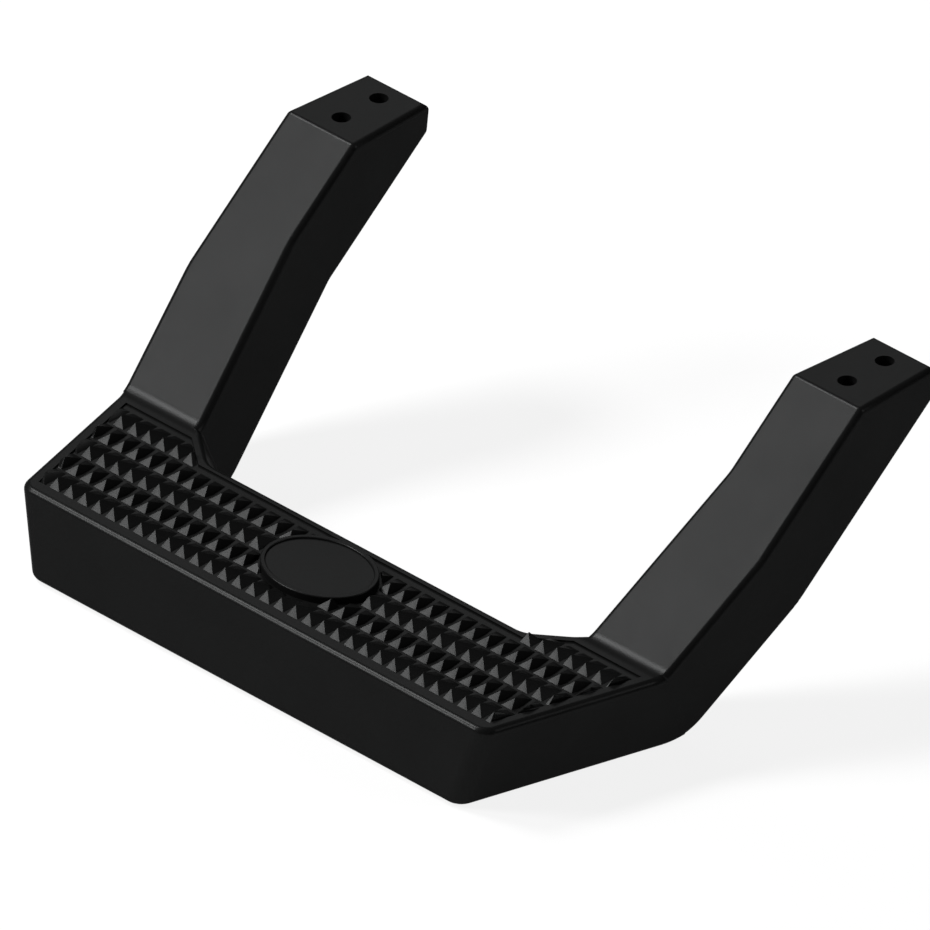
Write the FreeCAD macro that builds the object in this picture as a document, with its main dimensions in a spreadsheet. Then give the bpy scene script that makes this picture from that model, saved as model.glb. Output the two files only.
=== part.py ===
import FreeCAD, Part
import math
import os

import Sketcher
from FreeCAD import Placement, Rotation, Vector

doc = FreeCAD.newDocument("truck_step")

# Driving dimensions, in millimetres and degrees
driving_sizes = {
    # Tread, seen from above
    "front_length": (356, "front edge of the tread, corner to corner"),
    "tread_depth": (111.4, "front edge to the crease under the arms"),
    "end_spread": (29.3, "how far each end spreads outwards from the front edge to the crease"),
    "root_width": (60.7, "arm's face at the crease"),
    "gusset_width": (25.4, "arm's root to the straight back edge, along the tread"),
    "gusset_depth": (20, "crease to the straight back edge, across the tread"),
    # Section of the tread
    "tread_height": (53.2, "top of the rim to the underside"),
    "front_rake": (6, "how far the front face leans out at its foot"),
    "end_lean": (13.5, "how far each end face leans in at its foot"),
    "back_lean": (2, "how far the back face leans out at its foot"),
    # Arms
    "arm_slope": (40.6, "arm's rise from the horizontal"),
    "arm_depth": (57.4, "arm's face to its open back"),
    "arm_spread": (11.5, "how far each arm spreads outwards from the crease to its outer bend"),
    "arm_width": (54.2, "arm's face above the bends"),
    "crease_lean": (3, "how far the arm's inner side leans in below the crease"),
    "outer_bend_run": (80, "crease to the outer side's bend, along the arm's face"),
    "inner_bend_run": (118, "crease to the inner side's bend, along the arm's face"),
    "knee_run": (182, "crease to knee, along the arm's face"),
    "foot_height": (22.5, "end of the mounting foot, top to underside"),
    # Rounded edges
    "corner_radius": (11, "front corners of the tread"),
    "gusset_radius": (14, "hollow between the back face and each arm's root"),
    "bend_radius": (60, "gentle turn of each arm's sides at the bend"),
    "edge_radius": (4, "edge around the visible face, and the knee"),
    "under_radius": (5, "edge around the underside"),
    # Cored-out underside
    "wall": (8, "walls of the casting under the tread, and of the foot's end"),
    "web": (9, "plate behind the arm's face"),
    "channel_width": (28, "open channel in the back of the arm"),
    "plate": (8, "plate under the tread's floor"),
    "channel_start": (2, "crease to the channel's start, along the arm's face"),
    "rib": (5, "stiffening ribs under the tread"),
    "rib_pitch": (40, "rib to rib"),
    # Tread pattern
    "front_rim": (9.3, "flat rim along the front"),
    "end_rim": (9, "flat rim along each end"),
    "back_rim": (5.5, "flat rim along the back"),
    "crease_rim": (8, "flat rim below each arm"),
    "recess": (1, "rim to the floor between the teeth"),
    "tooth_height": (5.2, "floor to the tooth's tip"),
    "tooth_pitch": (10.7, "tooth to tooth along a row"),
    "tooth_width": (8.2, "foot of a tooth along the row"),
    "tip_shift": (2, "tip off the middle of its tooth, to the left and right by turns"),
    "row_pitch": (18, "row to row"),
    "row_margin": (1.4, "front rim to the first row"),
    "tooth_length": (16.4, "foot of a tooth across the row"),
    "tooth_rise": (4.8, "foot of the steep front face, front to tip"),
    "tooth_margin": (0.8, "rim to the nearest teeth"),
    # Bare oval pad in the middle of the tread
    "oval_length": (72, "oval pad along the tread"),
    "oval_depth": (58, "oval pad across the tread"),
    "oval_height": (4.4, "floor to the border's top"),
    "oval_border": (3, "raised border of the oval pad"),
    "oval_dish": (1, "border's top to the pad's face"),
    "oval_gap": (1.5, "clear floor around the oval pad"),
    "oval_back": (2.5, "back rim to the oval pad"),
    # Bolt holes in the mounting feet
    "bolt_hole": (11, "clearance hole for a 10 mm bolt"),
    "bolt_spacing": (30, "hole to hole along a foot"),
}

sheet = doc.addObject("Spreadsheet::Sheet", "Dims")
for row, (alias, (value, note)) in enumerate(driving_sizes.items(), start=1):
    sheet.set(f"A{row}", note)
    sheet.set(f"B{row}", str(value))
    sheet.setAlias(f"B{row}", alias)
doc.recompute()


# Formulas are worked out in a spare cell
working = doc.addObject("Spreadsheet::Sheet", "Working")


def value_of(formula):
    working.set("A1", f"={formula}")
    working.recompute()
    return float(working.get("A1"))


# Sizes that follow from the driving ones. Y runs back from the front edge, and Z up from the rim
half_front = "Dims.front_length / 2"
half_crease = f"({half_front} + Dims.end_spread)"
half_bay = f"({half_crease} - Dims.root_width)"
half_back = f"({half_bay} - Dims.gusset_width)"
half_spread = f"({half_crease} + Dims.arm_spread)"
waist = "(Dims.tread_depth - Dims.gusset_depth)"
arm_inside = f"({half_spread} - Dims.arm_width)"
arm_middle = f"({half_spread} - Dims.arm_width / 2)"
slope_sin = "sin(Dims.arm_slope)"
slope_cos = "cos(Dims.arm_slope)"
slope_tan = "tan(Dims.arm_slope)"
end_flare = "(Dims.end_spread / Dims.tread_depth)"
gusset_flare = "(Dims.gusset_width / Dims.gusset_depth)"
upright_depth = f"(Dims.arm_depth / {slope_cos})"
crease_setback = f"(({upright_depth} - Dims.tread_height) / {slope_tan})"
crease_foot = f"(Dims.tread_depth + {crease_setback})"
waist_foot = f"({waist} + Dims.back_lean)"
outer_foot = f"({half_crease} + {crease_setback} * {end_flare} - Dims.end_lean)"
inner_foot = f"({half_bay} + Dims.crease_lean)"
front_foot = f"({outer_foot} - ({crease_foot} + Dims.front_rake) * {end_flare})"
knee_y = f"(Dims.tread_depth + Dims.knee_run * {slope_cos})"
knee_z = f"(Dims.knee_run * {slope_sin})"
foot_length = f"(({upright_depth} - Dims.foot_height) / {slope_tan})"

# A sketch on one of a body's own planes, moved and tilted by formulas
def new_sketch(body, name, role, offsets, tilt="0"):
    sketch = body.newObject("Sketcher::SketchObject", name)
    plane = next(plane for plane in body.Origin.OriginFeatures if plane.Role == role)
    sketch.AttachmentSupport = [(plane, "")]
    sketch.MapMode = "FlatFace"
    sketch.AttachmentOffset = Placement(Vector(), Rotation(Vector(1, 0, 0), value_of(tilt)))
    for axis, formula in offsets.items():
        sketch.setExpression(f"AttachmentOffset.Base.{axis}", formula)
    if tilt != "0":
        sketch.setExpression("AttachmentOffset.Rotation.Angle", tilt)
    return sketch


# A closed outline of straight sides, with each corner held by two formulas
def add_outline(sketch, corners):
    first = sketch.GeometryCount
    places = [(value_of(across), value_of(along)) for across, along in corners]
    for index, start in enumerate(places):
        end = places[(index + 1) % len(places)]
        sketch.addGeometry(Part.LineSegment(Vector(*start, 0), Vector(*end, 0)))
    for index in range(len(places)):
        following = first + (index + 1) % len(places)
        sketch.addConstraint(Sketcher.Constraint("Coincident", first + index, 2, following, 1))
    for index, corner in enumerate(corners):
        for kind, formula, place in zip(("DistanceX", "DistanceY"), corner, places[index]):
            held = sketch.addConstraint(Sketcher.Constraint(kind, -1, 1, first + index, 1, place))
            sketch.setExpression(f"Constraints[{held}]", formula)


def both_sides(right_half):
    return right_half + [(f"-({across})", along) for across, along in reversed(right_half)]


def add_feature(body, kind, name, **settings):
    feature = body.newObject(kind, name)
    for key, setting in settings.items():
        setattr(feature, key, setting)
    body.Tip = feature
    doc.recompute()
    return feature


# Outer form of the casting. Every face is flat, and most lean two ways, so the corners come first
def corner(across, along, up):
    return Vector(value_of(across), value_of(along), value_of(up))


# The point of a plane, given by three corners, that lies at the height and depth of another point
def meet(plane_corners, place):
    base, second, third = plane_corners
    normal = (second - base).cross(third - base)
    across = base.x - (normal.y * (place.y - base.y) + normal.z * (place.z - base.z)) / normal.x
    return Vector(across, place.y, place.z)


# A face inside a closed outline of corners
def flat_face(outline):
    return Part.Face(Part.makePolygon(outline + outline[:1]))


# A solid inside a closed skin of faces, which then all look outwards
def solid_inside(faces):
    skin = Part.makeShell(faces)
    skin.sewShape()
    if skin.Volume < 0:
        skin = Part.makeShell([face.reversed() for face in skin.Faces])
    return Part.Solid(skin)


# A place along the arm's face, and below it, from the crease's middle
def along_arm(run, below="0"):
    return (f"(Dims.tread_depth + {run} * {slope_cos} + {below} * {slope_sin})",
            f"({run} * {slope_sin} - {below} * {slope_cos})")


bend_runs = {"outer": "Dims.outer_bend_run", "inner": "Dims.inner_bend_run"}
foot_end = f"({knee_y} + {foot_length})"
end_top = corner("0", foot_end, knee_z)
end_under = corner("0", foot_end, f"{knee_z} - Dims.foot_height")

front = corner(half_front, "0", "0")
back = corner(half_back, waist, "0")
crease = {
    "outer": corner(half_crease, "Dims.tread_depth", "0"),
    "inner": corner(half_bay, "Dims.tread_depth", "0"),
}
crease_under = {
    "outer": corner(outer_foot, crease_foot, "-Dims.tread_height"),
    "inner": corner(inner_foot, crease_foot, "-Dims.tread_height"),
}
front_under = meet([front, crease["outer"], crease_under["outer"]],
                   corner("0", "-Dims.front_rake", "-Dims.tread_height"))
back_under = meet([back, crease["inner"], crease_under["inner"]],
                  corner("0", waist_foot, "-Dims.tread_height"))
upper_side = {"outer": half_spread, "inner": arm_inside}
bend = {side: corner(upper_side[side], *along_arm(run)) for side, run in bend_runs.items()}
knee = {side: corner(across, knee_y, knee_z) for side, across in upper_side.items()}
bend_under, foot_top, foot_under = {}, {}, {}
for side, run in bend_runs.items():
    bend_under[side] = meet([crease[side], bend[side], crease_under[side]],
                            corner("0", *along_arm(run, "Dims.arm_depth")))
    upper_plane = [bend[side], knee[side], bend_under[side]]
    foot_top[side] = meet(upper_plane, end_top)
    foot_under[side] = meet(upper_plane, end_under)


def mirrored(points):
    return [Vector(-point.x, point.y, point.z) for point in points]


# A body that starts from the form inside a skin of faces
def new_body(name, faces):
    form = doc.addObject("Part::Feature", f"{name}Form")
    form.Shape = solid_inside(faces)
    body = doc.addObject("PartDesign::Body", name)
    body.BaseFeature = form
    doc.recompute()
    return body


# Tread and arm meet in a slanting plane through the crease
right_joint = [crease["outer"], crease_under["outer"], crease_under["inner"], crease["inner"]]
top_half = [front, crease["outer"], crease["inner"], back]
under_half = [front_under, crease_under["outer"], crease_under["inner"], back_under]
right_end = [front, front_under, crease_under["outer"], crease["outer"]]
right_gusset = [back, back_under, crease_under["inner"], crease["inner"]]
tread_outlines = [
    top_half + mirrored(top_half[::-1]),
    under_half + mirrored(under_half[::-1]),
    [front, front_under] + mirrored([front_under, front]),
    [back, back_under] + mirrored([back_under, back]),
]
for outline in (right_end, right_gusset, right_joint):
    tread_outlines += [outline, mirrored(outline)]
tread = new_body("Tread", [flat_face(outline) for outline in tread_outlines])


# The arc that rounds off the corner between two straight runs of an outline
def rounded_corner(before, at, after, radius):
    back = (before - at).normalize()
    onward = (after - at).normalize()
    half_turn = (math.pi - back.getAngle(onward)) / 2
    inwards = (back + onward).normalize()
    reach = radius * math.tan(half_turn)
    bulge = radius / math.cos(half_turn) - radius
    return Part.Arc(at + back * reach, at + inwards * bulge, at + onward * reach)


def side_edges(low, turn, high):
    return [Part.LineSegment(low, turn.StartPoint), turn, Part.LineSegment(turn.EndPoint, high)]


# The arm's sides turn gently at the bends, by the same arc in its face and in its back
arm_faces = [
    flat_face(right_joint),
    flat_face([knee["outer"], foot_top["outer"], foot_top["inner"], knee["inner"]]),
    flat_face([foot_top["outer"], foot_under["outer"], foot_under["inner"], foot_top["inner"]]),
]
face_edges = [Part.LineSegment(line["outer"], line["inner"]) for line in (crease, knee)]
back_edges = [Part.LineSegment(line["outer"], line["inner"]) for line in (crease_under, foot_under)]
bend_radius = value_of("Dims.bend_radius")
for side in bend:
    turn = rounded_corner(crease[side], bend[side], knee[side], bend_radius)
    turn_under = rounded_corner(crease_under[side], bend_under[side], foot_under[side], bend_radius)
    face_edges += side_edges(crease[side], turn, knee[side])
    back_edges += side_edges(crease_under[side], turn_under, foot_under[side])
    arm_faces += [
        flat_face([crease[side], turn.StartPoint, turn_under.StartPoint, crease_under[side]]),
        turn.toShape().extrude(bend_under[side] - bend[side]),
        flat_face([turn.EndPoint, knee[side], foot_top[side], foot_under[side], turn_under.EndPoint]),
    ]
for edges in (face_edges, back_edges):
    loop = Part.__sortEdges__([edge.toShape() for edge in edges])
    arm_faces.append(Part.Face(Part.Wire(loop)))
arm = new_body("RightArm", arm_faces)


def round_edges(body, name, chosen, radius):
    shape = body.Tip.Shape
    edges = [f"Edge{index}" for index, edge in enumerate(shape.Edges, start=1) if chosen(shape, edge)]
    fillet = add_feature(body, "PartDesign::Fillet", name, Base=(body.Tip, edges), Radius=value_of(radius))
    fillet.setExpression("Radius", radius)
    doc.recompute()


# Points nearer than this count as one
same_place = 0.01


# Whether an edge runs between two corners, on the right or the left
def joins(edge, corners):
    def meets(ends):
        return all(any((vertex.Point - end).Length < same_place for vertex in edge.Vertexes) for end in ends)

    return meets(corners) or meets(mirrored(corners))


def facing(face):
    return face.normalAt(*face.Surface.parameter(face.CenterOfMass))


# Whether an edge lies in the joint of tread and arm
joint_normal = Vector(0, right_joint[1].z - right_joint[0].z, right_joint[0].y - right_joint[1].y).normalize()


def in_joint(edge):
    middle = edge.valueAt((edge.FirstParameter + edge.LastParameter) / 2)
    places = [vertex.Point for vertex in edge.Vertexes] + [middle]
    return all(abs((place - right_joint[0]).dot(joint_normal)) < same_place for place in places)


# Whether a face that looks mostly up, or mostly down, ends at an edge
mostly = 0.6


def borders(shape, edge, way):
    sides = [facing(face).z * way > mostly for face in shape.ancestorsOfType(edge, Part.Face)]
    return any(sides) and not all(sides) and not in_joint(edge)


def on_top(shape, edge):
    return borders(shape, edge, 1)


def on_underside(shape, edge):
    return borders(shape, edge, -1)


def on_knee_or_top(shape, edge):
    return joins(edge, list(knee.values())) or on_top(shape, edge)


# Upright corners and bends first, then the edge around the visible face, then the underside's
round_edges(tread, "Corners", lambda shape, edge: joins(edge, [front, front_under]), "Dims.corner_radius")
round_edges(tread, "Gussets", lambda shape, edge: joins(edge, [back, back_under]), "Dims.gusset_radius")
round_edges(tread, "TreadEdge", on_top, "Dims.edge_radius")
round_edges(tread, "TreadUnderEdge", on_underside, "Dims.under_radius")
round_edges(arm, "ArmEdge", on_knee_or_top, "Dims.edge_radius")
round_edges(arm, "ArmBackEdge", on_underside, "Dims.under_radius")


# Cells cored out of the tread from below, with ribs left between them
end_slant = f"sqrt(1 + pow({end_flare}; 2))"
core_front = "Dims.wall"
core_back = f"({waist} - Dims.wall)"


def core_end(along):
    return f"({front_foot} + ({along} + Dims.front_rake) * {end_flare} - Dims.wall * {end_slant})"


least_cell = "(Dims.rib_pitch / 3)"
rib_count = 2 * int(value_of(f"({core_end(core_front)} - {least_cell}) / Dims.rib_pitch")) + 1
cells = new_sketch(tread, "CoreCells", "XY_Plane", {"z": "-Dims.tread_height"})
rib_places = [f"({index - rib_count // 2} * Dims.rib_pitch)" for index in range(rib_count)]
for left_rib, right_rib in zip(rib_places, rib_places[1:]):
    left = f"{left_rib} + Dims.rib / 2"
    right = f"{right_rib} - Dims.rib / 2"
    add_outline(cells, [(left, core_front), (right, core_front), (right, core_back), (left, core_back)])
last_rib = f"{rib_places[-1]} + Dims.rib / 2"
end_cell = [
    (last_rib, core_front),
    (core_end(core_front), core_front),
    (core_end(core_back), core_back),
    (last_rib, core_back),
]
add_outline(cells, end_cell)
add_outline(cells, [(f"-({across})", along) for across, along in end_cell])
core = add_feature(tread, "PartDesign::Pocket", "Core", Profile=cells, Reversed=True)
core.setExpression("Length", "Dims.tread_height - Dims.recess - Dims.plate")


# Section across the channel in the arm's back, from behind its web to past its open side
def channel_section(station, along, up, tilt, middle, depth):
    sketch = new_sketch(arm, f"Channel{station}", "XZ_Plane", {"y": up, "z": f"-({along})"}, tilt)
    near = f"{middle} - Dims.channel_width / 2"
    far = f"{middle} + Dims.channel_width / 2"
    below = f"-({depth} + Dims.web)"
    add_outline(sketch, [(near, "-Dims.web"), (far, "-Dims.web"), (far, below), (near, below)])
    return sketch


crease_middle = f"(({half_crease} + {half_bay}) / 2)"
channel_drift = f"(({arm_middle} - {crease_middle}) / Dims.inner_bend_run)"
start_middle = f"({crease_middle} + Dims.channel_start * {channel_drift})"
knee_lag = f"(Dims.web * (1 / {slope_cos} - 1) / {slope_tan})"
channel_sections = [
    channel_section("Start", *along_arm("Dims.channel_start"), "Dims.arm_slope",
                    start_middle, "Dims.arm_depth"),
    channel_section("Bend", *along_arm("Dims.inner_bend_run"), "Dims.arm_slope",
                    arm_middle, "Dims.arm_depth"),
    channel_section("Knee", f"{knee_y} + {knee_lag}", knee_z, "0", arm_middle, upright_depth),
    channel_section("End", f"{foot_end} - Dims.wall", knee_z, "0", arm_middle,
                    f"Dims.foot_height + Dims.wall * {slope_tan}"),
]
add_feature(arm, "PartDesign::SubtractiveLoft", "Channel", Profile=channel_sections[0],
            Sections=channel_sections[1:], Ruled=True)

# Bolt holes down through the mounting foot
foot_middle = f"({knee_y} + {foot_length} / 2)"
bolts = new_sketch(arm, "BoltHoles", "XY_Plane", {"z": knee_z})
for way in ("1", "-1"):
    along = f"{foot_middle} + {way} * Dims.bolt_spacing / 2"
    centre = Vector(value_of(arm_middle), value_of(along), 0)
    hole = bolts.addGeometry(Part.Circle(centre, Vector(0, 0, 1), value_of("Dims.bolt_hole / 2")))
    for kind, formula, place in (("DistanceX", arm_middle, centre.x), ("DistanceY", along, centre.y)):
        held = bolts.addConstraint(Sketcher.Constraint(kind, -1, 1, hole, 3, place))
        bolts.setExpression(f"Constraints[{held}]", formula)
    held = bolts.addConstraint(Sketcher.Constraint("Diameter", hole, value_of("Dims.bolt_hole")))
    bolts.setExpression(f"Constraints[{held}]", "Dims.bolt_hole")
holes = add_feature(arm, "PartDesign::Pocket", "Bolts", Profile=bolts)
holes.setExpression("Length", "2 * Dims.web")
doc.recompute()
left_arm = doc.addObject("Part::Mirroring", "LeftArm")
left_arm.Source = arm
left_arm.Normal = Vector(1, 0, 0)


# Sunk field of the tread, inside its rim
def field_outline(margin):
    gusset_slant = f"sqrt(1 + pow({gusset_flare}; 2))"
    near = f"(Dims.front_rim + {margin})"
    far = f"(Dims.tread_depth - Dims.crease_rim - {margin})"
    back = f"({waist} - Dims.back_rim - {margin})"
    ends = f"{half_front} - (Dims.end_rim + {margin}) * {end_slant}"
    roots = f"{half_back} + (Dims.back_rim + {margin}) * {gusset_slant}"
    return both_sides([
        (f"{ends} + {near} * {end_flare}", near),
        (f"{ends} + {far} * {end_flare}", far),
        (f"{roots} + ({far} - {waist}) * {gusset_flare}", far),
        (f"{roots} + ({back} - {waist}) * {gusset_flare}", back),
    ])


field = new_sketch(tread, "Field", "XY_Plane", {})
add_outline(field, field_outline("0"))
sunk = add_feature(tread, "PartDesign::Pocket", "SunkField", Profile=field)
sunk.setExpression("Length", "Dims.recess")

# Bare oval pad on the middle of the field, dished inside a raised border
oval_middle = f"({waist} - Dims.back_rim - Dims.oval_back - Dims.oval_depth / 2)"


def oval_sketch(name, up, inset):
    sketch = new_sketch(tread, name, "XY_Plane", {"z": up})
    length = f"Dims.oval_length - 2 * {inset}"
    depth = f"Dims.oval_depth - 2 * {inset}"
    centre = Vector(0, value_of(oval_middle), 0)
    oval = sketch.addGeometry(Part.Ellipse(centre, value_of(length) / 2, value_of(depth) / 2))
    sketch.exposeInternalGeometry(oval)
    long_axis, short_axis = oval + 1, oval + 2
    sketch.addConstraint(Sketcher.Constraint("PointOnObject", oval, 3, -2))
    sketch.addConstraint(Sketcher.Constraint("Horizontal", long_axis))
    for kind, places, formula in (("DistanceY", (-1, 1, oval, 3), oval_middle),
                                  ("Distance", (long_axis,), length),
                                  ("Distance", (short_axis,), depth)):
        held = sketch.addConstraint(Sketcher.Constraint(kind, *places, value_of(formula)))
        sketch.setExpression(f"Constraints[{held}]", formula)
    return sketch


pad = add_feature(tread, "PartDesign::Pad", "OvalPad", Profile=oval_sketch("Oval", "-Dims.recess", "0"))
pad.setExpression("Length", "Dims.oval_height")
dish = add_feature(tread, "PartDesign::Pocket", "OvalDish",
                   Profile=oval_sketch("OvalFace", "Dims.oval_height - Dims.recess", "Dims.oval_border"))
dish.setExpression("Length", "Dims.oval_dish")
doc.recompute()


# Tread teeth: staggered rows of lopsided pyramids, cut off where they meet the rim or the oval pad
floor_up = -value_of("Dims.recess")
sink = value_of("Dims.plate / 4")
tooth_height = value_of("Dims.tooth_height")
tooth_pitch = value_of("Dims.tooth_pitch")
clip_floor = floor_up - 2 * sink
clip_height = Vector(0, 0, 2 * tooth_height + 2 * sink)
clip_corners = [Vector(value_of(across), value_of(along), clip_floor)
                for across, along in field_outline("Dims.tooth_margin")]
clip = Part.Face(Part.makePolygon(clip_corners + clip_corners[:1])).extrude(clip_height)
oval_ring = Part.Ellipse(Vector(0, value_of(oval_middle), clip_floor),
                         value_of("Dims.oval_length / 2 + Dims.oval_gap"),
                         value_of("Dims.oval_depth / 2 + Dims.oval_gap"))
clip = clip.cut(Part.Face(Part.Wire(oval_ring.toShape())).extrude(clip_height))


# One tooth, with an upright foot sunk below the floor so that tooth and floor are one piece
def tooth(middle, near, shift):
    left = middle - value_of("Dims.tooth_width / 2")
    right = middle + value_of("Dims.tooth_width / 2")
    far = near + value_of("Dims.tooth_length")
    tip = Vector(middle + shift, near + value_of("Dims.tooth_rise"), floor_up + tooth_height)
    ring = [(left, near), (right, near), (right, far), (left, far)]
    foot = [Vector(across, along, floor_up - sink) for across, along in ring]
    rim = [Vector(across, along, floor_up) for across, along in ring]
    loops = [foot]
    for index in range(len(ring)):
        following = (index + 1) % len(ring)
        loops.append([foot[index], foot[following], rim[following], rim[index]])
        loops.append([rim[index], rim[following], tip])
    return solid_inside([flat_face(loop) for loop in loops])


teeth = []
row_count = int(value_of("(Dims.tread_depth - Dims.front_rim - Dims.crease_rim) / Dims.row_pitch"))
teeth_each_way = math.ceil(value_of(half_crease) / tooth_pitch)
smallest_share = 0.2
for row in range(row_count):
    near = value_of(f"Dims.front_rim + Dims.row_margin + {row} * Dims.row_pitch")
    staggered = row % 2
    shift = value_of("Dims.tip_shift") * (1 if staggered else -1)
    for place in range(-teeth_each_way, teeth_each_way + 1):
        whole = tooth((place + staggered / 2) * tooth_pitch, near, shift)
        for piece in whole.common(clip).Solids:
            if piece.Volume > smallest_share * whole.Volume:
                teeth.append(piece)
tread_teeth = doc.addObject("Part::Feature", "TreadTeeth")
tread_teeth.Shape = Part.makeCompound(teeth)

# The whole step, with its origin amid the bolt holes on the mounting feet
doc.recompute()
step = doc.addObject("Part::Feature", "HoopStep")
step.Label = "hoop_step"
step.Shape = tread.Shape.fuse(tread_teeth.Shape).fuse([arm.Shape, left_arm.Shape])
step.setExpression("Placement.Base.y", f"-{foot_middle}")
step.setExpression("Placement.Base.z", f"-{knee_z}")
doc.recompute()

for item in doc.Objects:
    if "Invalid" in item.State or "Error" in item.State:
        raise RuntimeError(f"{item.Name} failed: {item.State}")
if step.Shape.isNull() or not step.Shape.isValid() or len(step.Shape.Solids) != 1:
    raise RuntimeError("the step isn't one valid solid")

os.makedirs("parts", exist_ok=True)
step.Shape.exportStep(f"parts/{step.Label}.step")
box = step.Shape.BoundBox
print(f"{step.Label}: {box.XLength:.1f} x {box.YLength:.1f} x {box.ZLength:.1f} mm,",
      f"{step.Shape.Volume / 1000:.1f} cm3, {len(teeth)} teeth")
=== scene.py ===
import math

import bmesh
import bpy
from mathutils import Matrix, Vector


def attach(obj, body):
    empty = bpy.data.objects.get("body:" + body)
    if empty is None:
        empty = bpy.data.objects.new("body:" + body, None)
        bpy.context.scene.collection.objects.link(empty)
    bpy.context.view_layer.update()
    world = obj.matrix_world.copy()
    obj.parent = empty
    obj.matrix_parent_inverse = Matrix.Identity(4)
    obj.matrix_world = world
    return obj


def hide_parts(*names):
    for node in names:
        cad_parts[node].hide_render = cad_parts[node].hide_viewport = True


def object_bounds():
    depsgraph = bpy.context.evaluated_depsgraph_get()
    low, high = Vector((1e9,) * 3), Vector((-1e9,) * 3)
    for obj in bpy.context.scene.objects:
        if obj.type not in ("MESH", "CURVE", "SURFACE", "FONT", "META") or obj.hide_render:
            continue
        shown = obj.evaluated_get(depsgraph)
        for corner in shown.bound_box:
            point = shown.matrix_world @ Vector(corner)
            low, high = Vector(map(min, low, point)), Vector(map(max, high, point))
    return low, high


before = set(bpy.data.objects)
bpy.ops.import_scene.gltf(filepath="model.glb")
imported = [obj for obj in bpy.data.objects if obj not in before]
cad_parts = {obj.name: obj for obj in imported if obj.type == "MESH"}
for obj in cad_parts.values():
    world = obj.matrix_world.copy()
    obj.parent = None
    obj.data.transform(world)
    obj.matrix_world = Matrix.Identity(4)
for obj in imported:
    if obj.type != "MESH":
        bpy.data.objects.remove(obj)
cadLow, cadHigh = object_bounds()
scene = bpy.context.scene
scene.view_settings.view_transform = "Standard"
print("frame loaded:", sorted(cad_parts))


# shader maths: a socket that adds and multiplies by making nodes
class Wire:
    def __init__(self, tree, socket):
        self.tree = tree
        self.socket = socket

    def make(self, kind, settings, inputs, out=0):
        node = self.tree.nodes.new(kind)
        for key, value in settings.items():
            setattr(node, key, value)
        for place, value in inputs.items():
            if isinstance(value, Wire):
                self.tree.links.new(value.socket, node.inputs[place])
            else:
                node.inputs[place].default_value = value
        return Wire(self.tree, node.outputs[out])

    def maths(self, operation, first, second=0.0):
        return self.make("ShaderNodeMath", {"operation": operation}, {0: first, 1: second})

    def __add__(self, other):
        return self.maths("ADD", self, other)

    __radd__ = __add__

    def __mul__(self, other):
        return self.maths("MULTIPLY", self, other)

    __rmul__ = __mul__


def newMaterial(name):
    material = bpy.data.materials.new(name)
    material.use_nodes = True
    tree = material.node_tree
    tree.nodes.clear()
    output = tree.nodes.new("ShaderNodeOutputMaterial")
    return material, tree, output


# places on the casting, in metres in the shared frame
casting = {
    "crease": Vector((0, -0.1692, -0.1184)),   # where the arms' faces meet the tread
    "heel": Vector((0, -0.1431, -0.1716)),     # where the arms' backs meet the underside
    "armSlope": math.radians(40.6),
    "toothTip": -0.1142,
    "ovalTop": -0.1150,
}

# soft edges that the casting has once it is fettled and coated
softEdges = {
    "tooth": {"width": 0.0003, "segments": 1},
    "oval": {"width": 0.0007, "segments": 3},
    "crease": {"run": 0.0062, "cuts": 8, "hollow": True},
    "heel": {"run": 0.0150, "cuts": 10, "hollow": False},
    "merge": 0.000002,       # loose triangles' points closer than this become one
    "flat": 0.2,             # degrees, below which neighbouring faces become one
    "near": 0.00012,         # how close a point lies to a height to count as on it
    "sharp": 9.0,            # degrees, from which an edge counts as one
    "smoothBelow": 32.0,     # degrees
    "skin": 0.007,           # depth that moves along with a rounded turn
    "still": 0.022,          # depth from which nothing moves
}


def onTread(point, height):
    return abs(point.z - height) < softEdges["near"] and point.y < casting["crease"].y


def isSharp(edge):
    return edge.calc_face_angle_signed(0.0) > math.radians(softEdges["sharp"])


def isTooth(edge):
    return any(onTread(vert.co, casting["toothTip"]) for vert in edge.verts) and isSharp(edge)


def isOval(edge):
    return all(onTread(vert.co, casting["ovalTop"]) for vert in edge.verts) and isSharp(edge)


def bevelEdges(piece, chosen, soft):
    mesh = bmesh.from_edit_mesh(piece.data)
    for edge in mesh.edges:
        edge.select_set(False)
    picked = [edge for edge in mesh.edges if chosen(edge)]
    for edge in picked:
        edge.select_set(True)
    bmesh.update_edit_mesh(piece.data)
    bpy.ops.mesh.bevel(offset=soft["width"], segments=soft["segments"], affect="EDGES", clamp_overlap=False)
    return len(picked)


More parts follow.
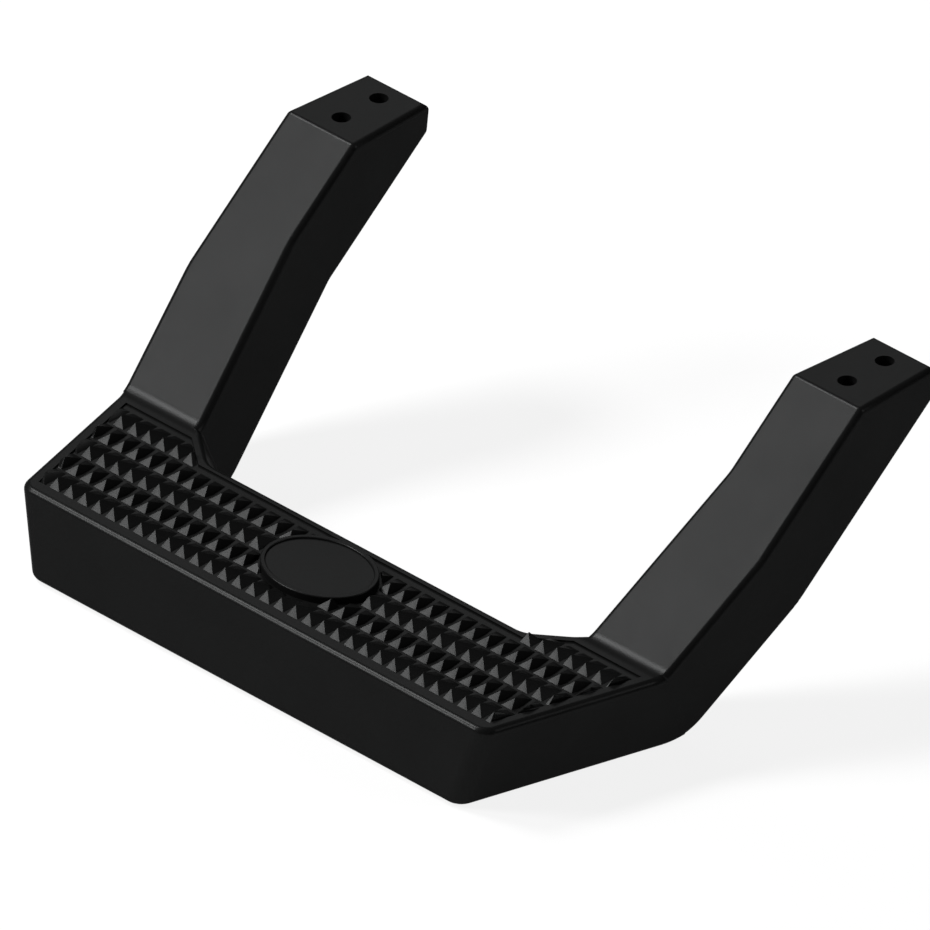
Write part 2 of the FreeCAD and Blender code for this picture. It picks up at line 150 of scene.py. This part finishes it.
# rounds the turn between level tread and sloping arms: cuts fan out from the arc's middle line
def roundTurn(piece, turnPlace, soft):
    slope = casting["armSlope"]
    radius = soft["run"] / math.tan(slope / 2)
    hub = turnPlace + Vector((0, -soft["run"], radius))

    def polar(point):
        return math.hypot(point.y - hub.y, point.z - hub.z), math.atan2(point.y - hub.y, hub.z - point.z)

    for cut in range(soft["cuts"] + 1):
        angle = slope * cut / soft["cuts"]
        mesh = bmesh.from_edit_mesh(piece.data)
        for face in mesh.faces:
            face.select_set(False)
        for face in mesh.faces:
            low = Vector((min(v.co[i] for v in face.verts) for i in range(3)))
            high = Vector((max(v.co[i] for v in face.verts) for i in range(3)))
            nearY = low.y < turnPlace.y + soft["run"] and high.y > turnPlace.y - soft["run"]
            nearZ = low.z < turnPlace.z + soft["run"] and high.z > turnPlace.z - soft["run"]
            if nearY and nearZ:
                face.select_set(True)
        bmesh.update_edit_mesh(piece.data)
        bpy.ops.mesh.bisect(plane_co=hub, plane_no=(0, math.cos(angle), math.sin(angle)))
    mesh = bmesh.from_edit_mesh(piece.data)
    moved = 0
    for vert in mesh.verts:
        far, angle = polar(vert.co)
        if not 0 < angle < slope:
            continue
        sharp = radius / math.cos(min(angle, slope - angle))
        depth = (far - sharp) * (1 if soft["hollow"] else -1)
        if depth < -softEdges["near"] or depth > softEdges["still"]:
            continue
        fade = min(1, max(0, (softEdges["still"] - depth) / (softEdges["still"] - softEdges["skin"])))
        shift = (radius - sharp) * fade * fade * (3 - 2 * fade)
        vert.co.y += math.sin(angle) * shift
        vert.co.z -= math.cos(angle) * shift
        moved += 1
    bmesh.update_edit_mesh(piece.data)
    return moved


# a tooth meets the tread's floor in a crisp corner, so its faces stay flat
def crispFeet(piece):
    mesh = bmesh.from_edit_mesh(piece.data)
    for edge in mesh.edges:
        edge.select_set(False)
    rim = casting["crease"].z + softEdges["near"]
    feet = []
    for edge in mesh.edges:
        rises = any(vert.co.z > rim for face in edge.link_faces for vert in face.verts)
        hollow = edge.calc_face_angle_signed(0.0) < -math.radians(softEdges["sharp"])
        if rises and hollow and max(vert.co.y for vert in edge.verts) < casting["crease"].y:
            feet.append(edge)
    for edge in feet:
        edge.select_set(True)
    bmesh.update_edit_mesh(piece.data)
    bpy.ops.mesh.mark_sharp()
    return len(feet)


def dressedStep():
    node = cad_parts["hoop_step"]
    bpy.ops.object.select_all(action="DESELECT")
    piece = bpy.data.objects.new("dressed_step", node.data.copy())
    scene.collection.objects.link(piece)
    piece.select_set(True)
    bpy.context.view_layer.objects.active = piece
    bpy.ops.object.mode_set(mode="EDIT")
    bpy.ops.mesh.select_mode(type="FACE")
    bpy.ops.mesh.select_all(action="SELECT")
    bpy.ops.mesh.remove_doubles(threshold=softEdges["merge"])
    bpy.ops.mesh.dissolve_limited(angle_limit=math.radians(softEdges["flat"]))
    for turn in ("crease", "heel"):
        print("rounded", turn, "points:", roundTurn(piece, casting[turn], softEdges[turn]))
    bpy.ops.mesh.select_mode(type="EDGE")
    for name, chosen in (("tooth", isTooth), ("oval", isOval)):
        print("softened", name, "edges:", bevelEdges(piece, chosen, softEdges[name]))
    print("kept crisp, tooth feet:", crispFeet(piece))
    bpy.ops.object.mode_set(mode="OBJECT")
    bpy.ops.object.shade_smooth_by_angle(angle=math.radians(softEdges["smoothBelow"]))
    flatter = piece.modifiers.new("flat_faces_stay_flat", "WEIGHTED_NORMAL")
    flatter.keep_sharp = True
    bpy.ops.object.modifier_apply(modifier=flatter.name)
    return piece


step = dressedStep()

# satin black powder coat over a sand casting
coat = {
    "colour": (0.0092, 0.0093, 0.0093, 1),
    "paler": (0.0134, 0.0136, 0.0136, 1),
    "edgeTint": (0.5, 0.5, 0.5, 1),   # holds the sheen down at a shallow angle
    "metal": 0.6,
    "gloss": 0.0,            # the sheen comes from the metal share alone
    "roughness": 0.32,
    "grain": {"scale": 1500, "detail": 3.0, "shade": 0.3, "rough": 0.06, "bump": 0.10, "depth": 0.0004},
    "cloud": {"scale": 26, "detail": 4.0, "shade": 0.7, "rough": 0.10, "bump": 0.08, "depth": 0.004},
}


def powderCoat():
    material, tree, output = newMaterial("black_powder_coat")
    place = Wire(tree, tree.nodes.new("ShaderNodeTexCoord").outputs["Object"])
    fine = coat["grain"]
    broad = coat["cloud"]
    grain = place.make("ShaderNodeTexNoise", {},
                       {"Vector": place, "Scale": fine["scale"], "Detail": fine["detail"]})
    cloud = place.make("ShaderNodeTexNoise", {},
                       {"Vector": place, "Scale": broad["scale"], "Detail": broad["detail"]})
    share = cloud * broad["shade"] + grain * fine["shade"]
    shade = place.make("ShaderNodeMix", {"data_type": "RGBA"},
                       {0: share, 6: coat["colour"], 7: coat["paler"]}, 2)
    bump = place.make("ShaderNodeBump", {},
                      {"Strength": fine["bump"], "Distance": fine["depth"], "Height": grain})
    bump = place.make("ShaderNodeBump", {},
                      {"Strength": broad["bump"], "Distance": broad["depth"],
                       "Height": cloud, "Normal": bump})
    middleRough = (broad["rough"] + fine["rough"]) / 2
    rough = cloud * broad["rough"] + grain * fine["rough"] + (coat["roughness"] - middleRough)
    shader = place.make("ShaderNodeBsdfPrincipled", {},
                        {"Base Color": shade, "Roughness": rough, "Normal": bump,
                         "Metallic": coat["metal"], "Specular IOR Level": coat["gloss"],
                         "Specular Tint": coat["edgeTint"]})
    tree.links.new(shader.socket, output.inputs[0])
    return material


step.data.materials.clear()
step.data.materials.append(powderCoat())
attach(step, "root")
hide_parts("hoop_step")
print("coat laid on the casting")

# floor under the step, white where the camera meets it, with a soft shadow
floorSet = {"side": 60.0, "gap": 0.0005, "colour": (0.86, 0.86, 0.86, 1), "glow": 0.85}


def paleFloor():
    bpy.ops.object.select_all(action="DESELECT")
    bpy.ops.mesh.primitive_plane_add(size=floorSet["side"], location=(0, 0, cadLow.z - floorSet["gap"]))
    floor = bpy.context.active_object
    floor.name = "floor"
    bpy.ops.object.transform_apply(location=True, rotation=True, scale=True)
    material, tree, output = newMaterial("pale_floor")
    path = tree.nodes.new("ShaderNodeLightPath")
    camera, glossy, through = (Wire(tree, path.outputs[name])
                               for name in ("Is Camera Ray", "Is Glossy Ray", "Is Transmission Ray"))
    seen = camera + glossy + through
    share = seen.maths("MINIMUM", seen, 1.0) * floorSet["glow"]
    matt = seen.make("ShaderNodeBsdfDiffuse", {}, {"Color": floorSet["colour"]})
    white = seen.make("ShaderNodeEmission", {}, {"Strength": 1.0})
    mix = seen.make("ShaderNodeMixShader", {}, {0: share, 1: matt, 2: white})
    tree.links.new(mix.socket, output.inputs[0])
    floor.data.materials.append(material)


paleFloor()

# softboxes: two at the front left, low and high, and weaker ones at the back left and back right
lampSet = [
    {"name": "front", "from": (-0.577, -0.58, 0.575), "far": 5.0, "size": 1.4, "watts": 186},
    {"name": "over", "from": (-0.577, -0.18, 0.795), "far": 5.0, "size": 1.3, "watts": 210},
    {"name": "left", "from": (-0.577, 0.625, 0.525), "far": 5.0, "size": 2.1, "watts": 38},
    {"name": "right", "from": (0.70, 0.45, 0.55), "far": 5.0, "size": 2.1, "watts": 44},
]
worldGlow = 0.08
middle = (cadLow + cadHigh) / 2
for lamp in lampSet:
    light = bpy.data.lights.new(lamp["name"], "AREA")
    light.shape = "DISK"
    light.size = lamp["size"]
    light.energy = lamp["watts"]
    holder = bpy.data.objects.new(lamp["name"], light)
    scene.collection.objects.link(holder)
    way = Vector(lamp["from"]).normalized()
    holder.location = middle + way * lamp["far"]
    holder.rotation_euler = way.to_track_quat("Z", "Y").to_euler()

world = bpy.data.worlds.new("studio")
scene.world = world
world.use_nodes = True
world.node_tree.nodes["Background"].inputs["Color"].default_value = (1, 1, 1, 1)
world.node_tree.nodes["Background"].inputs["Strength"].default_value = worldGlow
print("lamps set:", len(lampSet))

# the photograph's long lens, with a slight roll
cameraSet = {
    "azimuth": 42.7,
    "elevation": 31.7,
    "roll": 2.0,
    "pixelsPerMetre": 1833.0,
    "pixels": 930,
    "mark": (0, -0.2776, -0.1184),   # point on the front of the tread's rim
    "markPixel": (254.1, 605.5),     # and where the photograph shows it
    "far": 15.0,
}


def placeCamera():
    azimuth = math.radians(cameraSet["azimuth"])
    elevation = math.radians(cameraSet["elevation"])
    level = math.cos(elevation)
    back = Vector((math.sin(azimuth) * level, -math.cos(azimuth) * level, math.sin(elevation)))
    roll = Matrix.Rotation(math.radians(cameraSet["roll"]), 3, "Z")
    turn = (-back).to_track_quat("-Z", "Y").to_matrix() @ roll
    half = cameraSet["pixels"] / 2
    across = (cameraSet["markPixel"][0] - half) / cameraSet["pixelsPerMetre"]
    rise = (half - cameraSet["markPixel"][1]) / cameraSet["pixelsPerMetre"]
    aim = Vector(cameraSet["mark"]) - turn.col[0] * across - turn.col[1] * rise
    data = bpy.data.cameras.new("camera")
    data.lens = data.sensor_width * cameraSet["far"] * cameraSet["pixelsPerMetre"] / cameraSet["pixels"]
    camera = bpy.data.objects.new("camera", data)
    scene.collection.objects.link(camera)
    camera.matrix_world = Matrix.Translation(aim + back * cameraSet["far"]) @ turn.to_4x4()
    scene.camera = camera


placeCamera()
print("camera placed")
